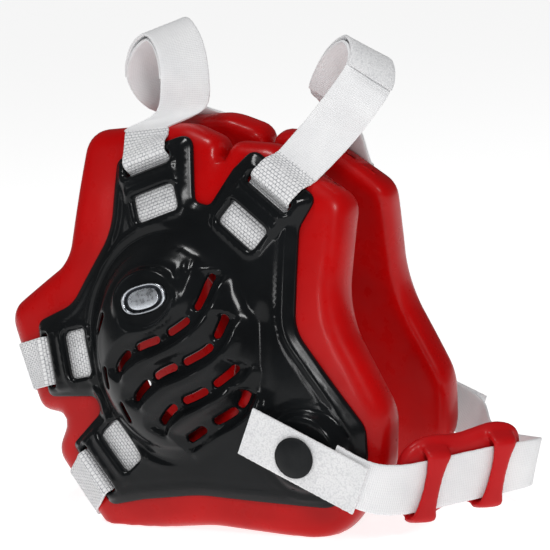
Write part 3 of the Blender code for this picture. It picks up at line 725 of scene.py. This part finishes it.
def slot_along(line, width):
    """A round-ended opening of this width along a line."""
    line = np.asarray(line, float)
    ahead = unit(np.gradient(line, axis=0)) * width / 2
    normal = left_of(ahead) * width / 2

    def cap(k, sign):
        angles = np.radians((55, 20, -20, -55))
        return [line[k] + sign * (ahead[k] * cos(a) + normal[k] * sin(a)) for a in angles]

    return np.vstack([line + normal, cap(-1, 1), (line - normal)[::-1], cap(0, -1)])


def stretch_of(route, low, high):
    """The part of a route between two shares of its length."""
    run = distance_along(route)
    places = np.linspace(low, high, 9) * run[-1]
    return np.column_stack([np.interp(places, run, route[:, k]) for k in (0, 1)])


def cup_relief(u, v, cup, edge):
    """The ear cup: its dome and foot, and the soft rings round its rear and upper left."""
    foot = CUP_HEIGHT * 3 * (1 - CUP_FOOT) ** 2 * np.clip(1 + CUP_FOOT - cup, 0, 2 * CUP_FOOT) ** 2
    relief = np.where(cup < 1 - CUP_FOOT, CUP_HEIGHT * (1 - cup ** 3) + 0.02, foot / (4 * CUP_FOOT))
    rear = smooth((12 - u) / 26) * smooth(edge / 3)
    relief += rear * (0.75 * bell(cup, 1.10, 0.034) - 0.7 * bell(cup, 1.025, 0.036))
    relief += 0.45 * smooth((v - u * 0.8 - 2) / 18) * bell(cup, 0.80, 0.05)
    # The upright hollow in front of the cup.
    return relief - 1.2 * bell(u, 38.5, 3.6) * smooth((v + 24) / 10) * smooth((20 - v) / 12)


def channel_relief(points, routes):
    """The swirling channels, each with a lip along one side, and the short ribs above them."""
    relief = np.zeros(len(points))
    for route in routes:
        gap, side, share = distance_to(points, route, closed=False)
        s = gap * side
        ends = smooth(share / 0.06) * smooth((1.0 - share) / 0.08) * (share > 0.001) * (share < 0.999)
        groove = smooth((s + 6.0) / 4.8) * smooth((5.6 - s) / 4.2)
        ridge = smooth((s - 3.8) / 1.8) * smooth((9.5 - s) / 4.0)
        relief += ends * (CHANNEL_LIP * ridge - CHANNEL_DEPTH * groove)
    for centre, heading in RIBS:
        along, across = split_along(*points.T, centre, heading)
        relief += RIB_HEIGHT * np.exp(-((across / RIB_HALF_WIDTH) ** 2) - (along / RIB_HALF_LENGTH) ** 4)
    return relief


def frame_relief(u, v, cup, edge, frame_gap):
    """The strap tabs: the round bar between each slot and its window, and a bead round both."""
    relief = 0.85 * bell(frame_gap, 1.7, 1.15) * smooth(edge / 3) * smooth((cup - 0.98) / 0.08)
    for centre, heading in TABS.values():
        along, across = split_along(u, v, centre, heading)
        bar = np.sqrt(np.clip(1 - ((along + 5.5) / 4.9) ** 2, 0, 1)) * smooth((13.4 - np.abs(across)) / 2.4)
        relief += TAB_BAR_HEIGHT * bar
    return relief


def shell_shape():
    """One shell's flat places and faces with the heights of its outer and inner face."""
    routes = [smooth_route(line, 4) for line, _ in CHANNELS]
    vents = [
        slot_along(stretch_of(route, low, high), VENT_WIDTH)
        for route, (_, spans) in zip(routes, CHANNELS)
        for low, high in spans
    ]
    vents += [slot_along(smooth_route(line, 4), FLANK_SLOT_WIDTH) for line in FLANK_SLOTS]
    frames = [tab_box(tab, WINDOW_SIZE, WINDOW_INSET, 1.8) for tab in TABS]
    frames += [tab_box(tab, SLOT_SIZE, -SLOT_SHIFT, 1.2) for tab in TABS]
    outer = rounded_outline(SHELL_CORNERS, step=0.8)
    fine = (CUP_CENTRE, CUP_GRID_REACH, CUP_GRID_SPACING)
    points, faces, rim, gaps = plate(
        outer, frames + vents, SHELL_STEP, (0.14, 0.42, 0.9, 1.6), SHELL_SPACING, fine
    )
    u, v = points.T
    edge = gaps[0]
    frame_gap = np.min(gaps[1: 1 + len(frames)], axis=0)
    cup = oval_share(u, v, CUP_CENTRE, CUP_SEMI_AXES, CUP_TILT)

    lip = smooth(edge / SHELL_LIP_WIDTH)
    height = SHELL_EDGE_LIFT + SHELL_THICKNESS + (SHELL_LIFT - SHELL_EDGE_LIFT) * lip
    height -= 0.4 * bell(edge, 5.6, 0.9) * smooth((frame_gap - 1.5) / 2.5)
    height += cup_relief(u, v, cup, edge) + channel_relief(points, routes)

    # The badge's level seat, and the raised curve in front of it.
    seat = oval_share(u, v, SEAT_CENTRE, SEAT_SEMI_AXES, BADGE_TILT)
    height += (BADGE_SEAT_LIFT + curve_rise(u, v) - height) * smooth((1.28 - seat) / 0.26)
    height += 0.9 * bell(seat, 1.22, 0.075) * smooth((u - v * 0.4 + 8) / 14)
    height += frame_relief(u, v, cup, edge, frame_gap)

    # The snap's level seat, and the low ring round it.
    away = np.hypot(u - SNAP_U, v - SNAP_V)
    height += (height_at_y(u, v, SEAT_Y) - height) * smooth((SEAT_RADIUS + SEAT_FADE - away) / SEAT_FADE)
    height += 0.5 * bell(away, SEAT_RADIUS + SEAT_FADE + 0.8, 0.9) * smooth(edge / 3)

    under = height - SHELL_THICKNESS
    near = np.minimum(np.min(gaps, axis=0) / EDGE_ROUNDING, 1)
    height = height - 0.8 * (1 - np.sqrt(1 - (1 - near) ** 2))
    return points, faces, rim, height, under


def make_shell(word, side, shape, material):
    points, faces, rim, height, under = shape
    count = len(points)
    u, v = points.T
    places = np.vstack([on_guard(side, u, v, height), on_guard(side, u, v, under)])
    walls = np.column_stack([rim[:, 0], rim[:, 1], rim[:, 1] + count, rim[:, 0] + count])
    faces = [*faces, *(faces[:, ::-1] + count), *walls]
    obj = make_object(f"{word}_plate", places, faces, [material], sharp=radians(62))
    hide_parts(f"{word}_shell")
    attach(obj, f"{word}_guard")


def make_badge(word, side, rim_material, field_material):
    """A plain oval badge: a raised bright rim round a dark field with a bright middle."""
    rings = [
        (1.0, 0.45), (1.0, 1.2), (0.985, 1.5), (0.96, 1.65), (0.92, 1.65), (0.89, 1.5), (0.87, 1.1),
        (0.80, 1.0), (0.72, 1.0), (0.69, 1.3), (0.66, 1.35), (0.3, 1.4),
    ]
    field = slice(6 * BADGE_SEGMENTS, 9 * BADGE_SEGMENTS)
    turn = full_turn(BADGE_SEGMENTS)
    du = BADGE_SEMI_AXES[0] * squared(np.cos(turn), 0.8)
    dv = BADGE_SEMI_AXES[1] * squared(np.sin(turn), 0.8)
    places = []
    for share, level in rings:
        u, v = placed(share * du, share * dv, BADGE_CENTRE, BADGE_TILT)
        places += list(on_guard(side, u, v, BADGE_SEAT_LIFT + level + curve_rise(u, v)))
    faces = ring_quads(len(rings), BADGE_SEGMENTS)
    faces += [range(BADGE_SEGMENTS), range(len(places) - 1, len(places) - 1 - BADGE_SEGMENTS, -1)]
    index = np.zeros(len(faces))
    index[field] = 1
    materials = [rim_material, field_material]
    obj = make_object(f"{word}_oval_badge", places, faces, materials, sharp=radians(50), index=index)
    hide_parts(f"{word}_badge")
    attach(obj, f"{word}_guard")


# Snaps


def snap_place():
    """The x and z of the line through both snaps."""
    place = on_guard(RIGHT, SNAP_U, SNAP_V, height_at_y(SNAP_U, SNAP_V, SEAT_Y))
    return place[0], place[2]


def turned(name, side, start_y, profile, node, body, material):
    """A solid of revolution about the line through the snaps.

    The profile is (radius, distance outward from start_y), from axis to axis.
    """
    x, z = snap_place()
    turn = full_turn(SNAP_SEGMENTS)
    places = [(x, side * (start_y + profile[0][1]), z)]
    for r, y in profile[1:-1]:
        places += [(x + r * cos(a), side * (start_y + y), z + r * sin(a)) for a in turn]
    places.append((x, side * (start_y + profile[-1][1]), z))
    faces = ring_quads(len(profile) - 2, SNAP_SEGMENTS, first=1)
    end = len(places) - 1
    last_ring = end - SNAP_SEGMENTS
    for k in range(SNAP_SEGMENTS):
        following = (k + 1) % SNAP_SEGMENTS
        faces += [(0, 1 + k, 1 + following), (last_ring + k, end, last_ring + following)]
    obj = make_object(name, places, faces, [material], sharp=radians(42))
    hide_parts(node)
    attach(obj, body)


def make_snap(word, side, steel, black):
    stud = [(0, 0.3), (5.3, 0.3), (5.5, 0.45), (5.5, 0.75), (5.2, 0.95), (3.0, 0.95), (2.7, 1.1),
            (2.5, 1.9), (2.85, 2.2), (3.0, 2.55), (2.8, 2.9), (2.3, 3.1), (0, 3.15)]
    socket = [(0, 2.3), (3.3, 2.3), (3.4, 2.1), (3.4, 0.5), (3.6, 0.1), (4.1, 0.0), (5.7, 0.0),
              (6.2, 0.25), (6.4, 0.7), (6.4, 2.3), (6.2, 2.5), (0, 2.5)]
    cap = [(0, 0.0), (7.3, 0.0), (7.55, 0.15), (7.62, 0.5), (7.5, 0.85), (7.25, 1.05), (7.0, 1.12),
           (6.85, 1.10), (6.6, 1.22), (5.6, 1.55), (4.2, 1.85), (2.6, 2.02), (1.2, 2.09), (0, 2.1)]
    guard, snap = f"{word}_guard", f"{word}_snap"
    turned(f"{word}_stud", side, SEAT_Y, stud, f"{snap}_stud", guard, steel)
    turned(f"{word}_socket", side, SOCKET_START, socket, f"{snap}_socket", snap, steel)
    turned(f"{word}_button", side, CAP_START, cap, f"{snap}_cap", snap, black)


# Webbing


def band(name, edges, materials, zones=None, lift=None, thickness=WEB_THICKNESS, seed=0.0):
    """A strap from pairs of edge points, with rounded selvages and a little unevenness.

    zones is a material's number for each station, and lift moves each station along its normal.
    """
    edges = np.asarray(edges, float)
    count = len(edges)
    zones = np.zeros(count, dtype=int) if zones is None else zones
    lift = np.zeros(count) if lift is None else lift
    middle = edges.mean(1)
    width = edges[:, 1] - edges[:, 0]
    half = np.linalg.norm(width, axis=1) / 2
    width = width / (2 * half[:, None])
    normal = unit(np.cross(np.gradient(middle, axis=0), width))
    run = distance_along(middle)
    loop = [(a, t / 2) for a, t in BAND_SECTION] + [(a, -t / 2) for a, t in BAND_SECTION[::-1]]
    size = len(loop)
    places, uvs = [], []
    for i in range(count):
        for a, t in loop:
            wander = noise.noise(Vector((run[i] * 0.05, a * 0.8, seed))) * 0.175
            fray = noise.noise(Vector((run[i] * 0.9, a * 3.0, seed + 7.0))) * 0.16 * (abs(a) > 0.9)
            rise = t * thickness + lift[i] + wander
            places.append(middle[i] + width[i] * (half[i] * a + fray) + normal[i] * rise)
            uvs.append((a * half[i], run[i]))
    faces = ring_quads(count, size) + [range(size), range(size * count - 1, size * (count - 1) - 1, -1)]
    index = [*np.repeat(zones[:-1], size), zones[0], zones[-2]]
    return make_object(name, places, faces, materials, sharp=radians(60), uvs=uvs, index=index)


def threaded_edge(side, tab, lateral, wrap_end):
    """One edge of a strap: under the tab, out of its slot and over the pad's rim to the wrap's end."""
    centre, heading = TABS[tab]
    out = np.array((cos(heading), sin(heading)))
    start = np.array(placed(0, -lateral, centre, heading))
    edge = reach_along(SHELL_OUTLINE, start, out)
    turn = reach_along(PAD_OUTLINE, start, out) - PAD_THICKNESS / 2
    radius = PAD_THICKNESS / 2 + RIM_CLEARANCE
    path = [(-20.5, 1.0), (-18.9, 1.1), (-16.4, 1.3), (-13.2, 1.3), (-10.7, 1.1), (-5.0, 1.0), (-0.9, 1.0),
            (1.0, 3.0), (3.0, 5.1), (edge - 1.5, 4.5), (edge + 0.7, 3.2)]
    wrap_start = min(radians(76), acos(min(0.9, (edge + 2.4 - turn) / radius)))
    for a in np.linspace(wrap_start, wrap_end, 4):
        path.append((turn + radius * cos(a), radius * sin(a) - PAD_THICKNESS / 2))
    path = np.array(path)
    where = start + out * path[:, :1]
    return on_guard(side, where[:, 0], where[:, 1], path[:, 1])


def threaded_end(side, tab, wrap_end):
    half = WEB_WIDTH / 2
    return np.stack([threaded_edge(side, tab, lateral, wrap_end) for lateral in (-half, half)], 1)


def free_stations(loop):
    centre, width = (np.array([station[k] for station in loop]) for k in (0, 1))
    reach = unit(width) * WEB_WIDTH / 2
    return np.stack([centre - reach, centre + reach], 1)


def make_strap(tab, loop, seed, cloths, left_outside=False):
    """A strap as a right and a left half that lap over each other by hook and loop."""
    wrap_end, lap, crossing = (
        (LOOP_WRAP, LOOP_LAP, LOOP_BLEND) if loop else (REAR_WRAP, REAR_LAP, REAR_BLEND)
    )
    right_end, left_end = threaded_end(RIGHT, tab, wrap_end), threaded_end(LEFT, tab, wrap_end)[::-1]
    if loop:
        middle = free_stations(loop)
        if right_end[0][0][0] > right_end[0][1][0]:
            middle = middle[:, ::-1]
    else:
        middle = np.array([[(x - bulge, y, z) for x, _, z in right_end[-1]] for y, bulge in REAR_STATIONS])
    route = smooth_route(np.concatenate([right_end, middle, left_end]), STRAP_DETAIL)
    centre = STRAP_DETAIL * (len(right_end) + len(middle) // 2)
    last_free = len(route) - 1 - STRAP_DETAIL * (len(right_end) - 1)
    right_end_at = centre + lap * STRAP_DETAIL + 1
    left_start_at = centre - (lap * STRAP_DETAIL // 2 + 1 if left_outside else lap * STRAP_DETAIL)
    lift = -LAP_LIFT if left_outside else LAP_LIFT
    lifts = lift * smooth((last_free - np.arange(len(route))) / STRAP_DETAIL)

    # The ends in the tabs and the whole rear straps show the open grid.
    ribbed, grid, pile = range(3)
    grid_until = STRAP_DETAIL * (len(right_end) - 2)
    zones = np.full(len(route), grid)
    if loop:
        zones[grid_until: -grid_until] = ribbed
    left_zones = zones.copy()
    if left_outside:
        left_zones[left_start_at: centre + 7] = pile
    part = slice(0, right_end_at)
    right = band(f"{tab}_web_right", route[part], cloths, zones[part], seed=seed)
    part = slice(left_start_at, None)
    left = band(f"{tab}_web_left", route[part], cloths, left_zones[part], lifts[part], seed=seed + 20)
    for word, piece in (("right", right), ("left", left)):
        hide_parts(f"{tab}_strap_{word}")
        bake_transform(piece)


# Chin strap


def chin_run():
    """The chin strap finely sampled: distance along it, centre, width direction and normal."""
    route = smooth_route([[*c, *w] for c, w in CHIN_ROUTE], CHIN_SAMPLES)
    centre, width = route[:, :3], unit(route[:, 3:])
    normal = unit(np.cross(np.gradient(centre, axis=0), width))
    return distance_along(centre), centre, width, normal


def along_chin(run, distance):
    """The chin strap's centre, width direction and normal at a distance along it."""
    at, *parts = run
    return [np.array([np.interp(distance, at, part[:, k]) for k in range(3)]) for part in parts]


def make_chin_strap(run, cloths):
    """The strap in two pieces that meet at the chin. Returns the x and z of the place where they meet."""
    _, centre, width, _ = run
    half = WEB_WIDTH / 2
    edges = np.stack([centre - width * half, centre + width * half], 1)
    split = int(np.argmin(np.abs(centre[:, 1])))
    x, z = centre[split][0] * MM, centre[split][2] * MM
    right = band("chin_web_right", edges[: split + 1], cloths, seed=3.0)
    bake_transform(right)
    left = band("chin_web_left", edges[split:], cloths, seed=4.0)
    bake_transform(left)
    for piece in (right, left):
        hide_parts("chin_strap")
    return x, z


def loft(bm, sections):
    """A closed skin through rings of points."""
    rings = [[bm.verts.new(Vector(p) * MM) for p in section] for section in sections]
    for a, b in zip(rings, rings[1:]):
        for k in range(len(a)):
            bm.faces.new((a[k], a[(k + 1) % len(a)], b[(k + 1) % len(a)], b[k]))
    bm.faces.new(rings[0])
    bm.faces.new(rings[-1][::-1])


def chin_body(run, back):
    """Sections of the pad behind the strap, deeper above than below and widest at the bars."""
    start, end = CHIN_PAD_SPAN
    turn = full_turn(28)[:, None]
    sections = []
    for place in np.linspace(start, end, 40):
        centre, width, normal = along_chin(run, place)
        taper = max(0.0, 1 - abs(2 * (place - start) / (end - start) - 1) ** 7) ** 0.5
        bulge = max(bell(place, bar, 8.5) for bar in CHIN_BAR_PLACES)
        above = (15.4 + 1.7 * bulge) * (0.35 + 0.65 * taper)
        below = (10.2 + 4.2 * bulge) * (0.35 + 0.65 * taper)
        deep = CHIN_PAD_THICKNESS / 2 * (0.3 + 0.7 * taper)
        w = np.where(np.cos(turn) > 0, above, below) * squared(np.cos(turn), 0.75)
        n = back - CHIN_PAD_THICKNESS / 2 + deep * squared(np.sin(turn), 0.8)
        sections.append(centre + width * w + normal * n)
    return sections


def chin_bar(run, back, place):
    """Sections of one bar over the strap, waisted in the middle and sunk in the pad at its ends."""
    inner = WEB_THICKNESS / 2 + 0.55
    thick = CHIN_BAR_THICKNESS / 2
    turn = full_turn(16)[:, None]
    steps = np.linspace(-1, 1, 33)
    across = CHIN_BAR_REACH * steps
    rise = back - 3.0 + (inner + thick - back + 3.0) * smooth((1 - np.abs(steps)) / 0.22)
    sections = []
    for t, w, n, slope in zip(steps, across, rise, np.gradient(rise, across)):
        centre, width, normal = along_chin(run, place + 2.2 * t)
        ahead = np.cross(width, normal)
        half = (3.4 + 2.9 * abs(t) ** 2.4) * sqrt(1 - max(0.0, (abs(t) - 0.86) / 0.16) ** 2)
        out = np.cross(ahead, width + normal * slope)
        out *= np.sign(out @ normal) / np.linalg.norm(out)
        base = centre + width * w + normal * n
        sections.append(
            base + ahead * half * squared(np.cos(turn), 0.7) + out * thick * squared(np.sin(turn), 0.8)
        )
    return sections


def make_chin_pad(run, material):
    """A soft pad behind the strap with two bars over it, merged and smoothed as one piece of foam."""
    back = -(WEB_THICKNESS / 2 + CHIN_PAD_GAP)
    bm = bmesh.new()
    loft(bm, chin_body(run, back))
    for place in CHIN_BAR_PLACES:
        loft(bm, chin_bar(run, back, place))
    bmesh.ops.recalc_face_normals(bm, faces=bm.faces)
    mesh = bpy.data.meshes.new("chin_cushion")
    bm.to_mesh(mesh)
    bm.free()
    mesh.materials.append(material)
    obj = link_object("chin_cushion", mesh)
    merge = obj.modifiers.new("merge", "REMESH")
    merge.mode, merge.voxel_size, merge.use_smooth_shade = "VOXEL", 0.00062, True
    ease = obj.modifiers.new("ease", "SMOOTH")
    ease.factor, ease.iterations = 0.5, 16
    obj.data = bpy.data.meshes.new_from_object(obj.evaluated_get(bpy.context.evaluated_depsgraph_get()))
    obj.modifiers.clear()
    obj.data.shade_smooth()
    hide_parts("chin_pad")
    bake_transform(obj)


def make_tab(word, side, cloths):
    """The end of the chin strap that carries the snap: doubled webbing with a looped face."""
    x, z = snap_place()
    along = np.array((cos(TAB_SLOPE), 0, sin(TAB_SLOPE)))
    up = np.array((-sin(TAB_SLOPE), 0, cos(TAB_SLOPE))) * WEB_WIDTH / 2
    snap = np.array((x, side * (TAB_START + TAB_THICKNESS / 2), z))
    centres = [snap + along * (TAB_LENGTH * t - TAB_BEHIND_SNAP) for t in np.linspace(0, 1, 50)]
    edges = [(centre - up, centre + up) for centre in centres]
    obj = band(f"{word}_tab", edges, cloths[2:], thickness=TAB_THICKNESS, seed=11.0 + side)
    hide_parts(f"{word}_snap_tab")
    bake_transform(obj)


# Studio


def make_stage():
    """A white table, a faint white surround and softboxes round the camera's side."""
    mesh = bpy.data.meshes.new("studio_floor")
    corners = [(-1, -1), (1, -1), (1, 1), (-1, 1)]
    mesh.from_pydata([(FLOOR_REACH * x, FLOOR_REACH * y, 0) for x, y in corners], [], [(0, 1, 2, 3)])
    floor = link_object("studio_floor", mesh)
    floor.location.z = FLOOR_Z
    s = Shader("studio_floor", (0.62, 0.62, 0.62), 0.9, Specular_IOR_Level=0.1)
    s.set(Emission_Color=(1, 1, 1), Emission_Strength=0.86)
    mesh.materials.append(s.material)

    scene = bpy.context.scene
    scene.view_settings.view_transform = "Standard"
    scene.world = bpy.data.worlds.new("studio")
    scene.world.use_nodes = True
    background = scene.world.node_tree.nodes["Background"]
    background.inputs["Color"].default_value = (1, 1, 1, 1)
    background.inputs["Strength"].default_value = 0.09
    for name, place, size, power in SOFTBOXES:
        light = bpy.data.lights.new(name, "AREA")
        light.shape, light.size, light.size_y, light.energy = "RECTANGLE", *size, power
        lamp = link_object(name, light)
        lamp.location = place
        lamp.rotation_euler = (LIGHT_AIM - Vector(place)).to_track_quat("-Z", "Y").to_euler()


def make_camera():
    back, right = CAMERA_BACK.normalized(), CAMERA_RIGHT.normalized()
    up = back.cross(right).normalized()
    camera = link_object("camera", bpy.data.cameras.new("camera"))
    camera.data.lens, camera.data.sensor_width = CAMERA_LENS, CAMERA_SENSOR
    camera.matrix_world = Matrix((right, up, back)).transposed().to_4x4()
    camera.matrix_world.translation = CAMERA_AIM + back * CAMERA_DISTANCE
    bpy.context.scene.camera = camera


def make_headgear():
    red = vinyl("pad_vinyl_red", (0.50, 0.0022, 0.0026), (0.41, 0.0012, 0.0018), 0.30)
    chin_red = vinyl("chin_vinyl_red", (0.52, 0.006, 0.008), (0.42, 0.004, 0.006), 0.44)
    black = black_plastic()
    steel = metal("snap_steel", (0.66, 0.66, 0.64), 0.28)
    badge_rim = metal("badge_rim", (0.66, 0.69, 0.74), 0.27)
    badge_field = metal("badge_field", (0.035, 0.038, 0.045), 0.30)
    cloths = [ribbed_webbing(), grid_webbing(), pile_webbing()]
    cap_black = matt_black()
    pad, shell = pad_plate(), shell_shape()
    for word, side in SIDES.items():
        make_pad(word, side, pad, red)
        make_shell(word, side, shell, black)
        make_badge(word, side, badge_rim, badge_field)
        make_snap(word, side, steel, cap_black)
        make_tab(word, side, cloths)
    make_strap("crown", CROWN_LOOP, 1.0, cloths)
    make_strap("front", FRONT_LOOP, 2.0, cloths, left_outside=True)
    make_strap("upper_rear", None, 5.0, cloths)
    make_strap("lower_rear", None, 6.0, cloths)
    run = chin_run()
    middle = make_chin_strap(run, cloths)
    make_chin_pad(run, chin_red)


make_camera()
make_stage()
make_headgear()
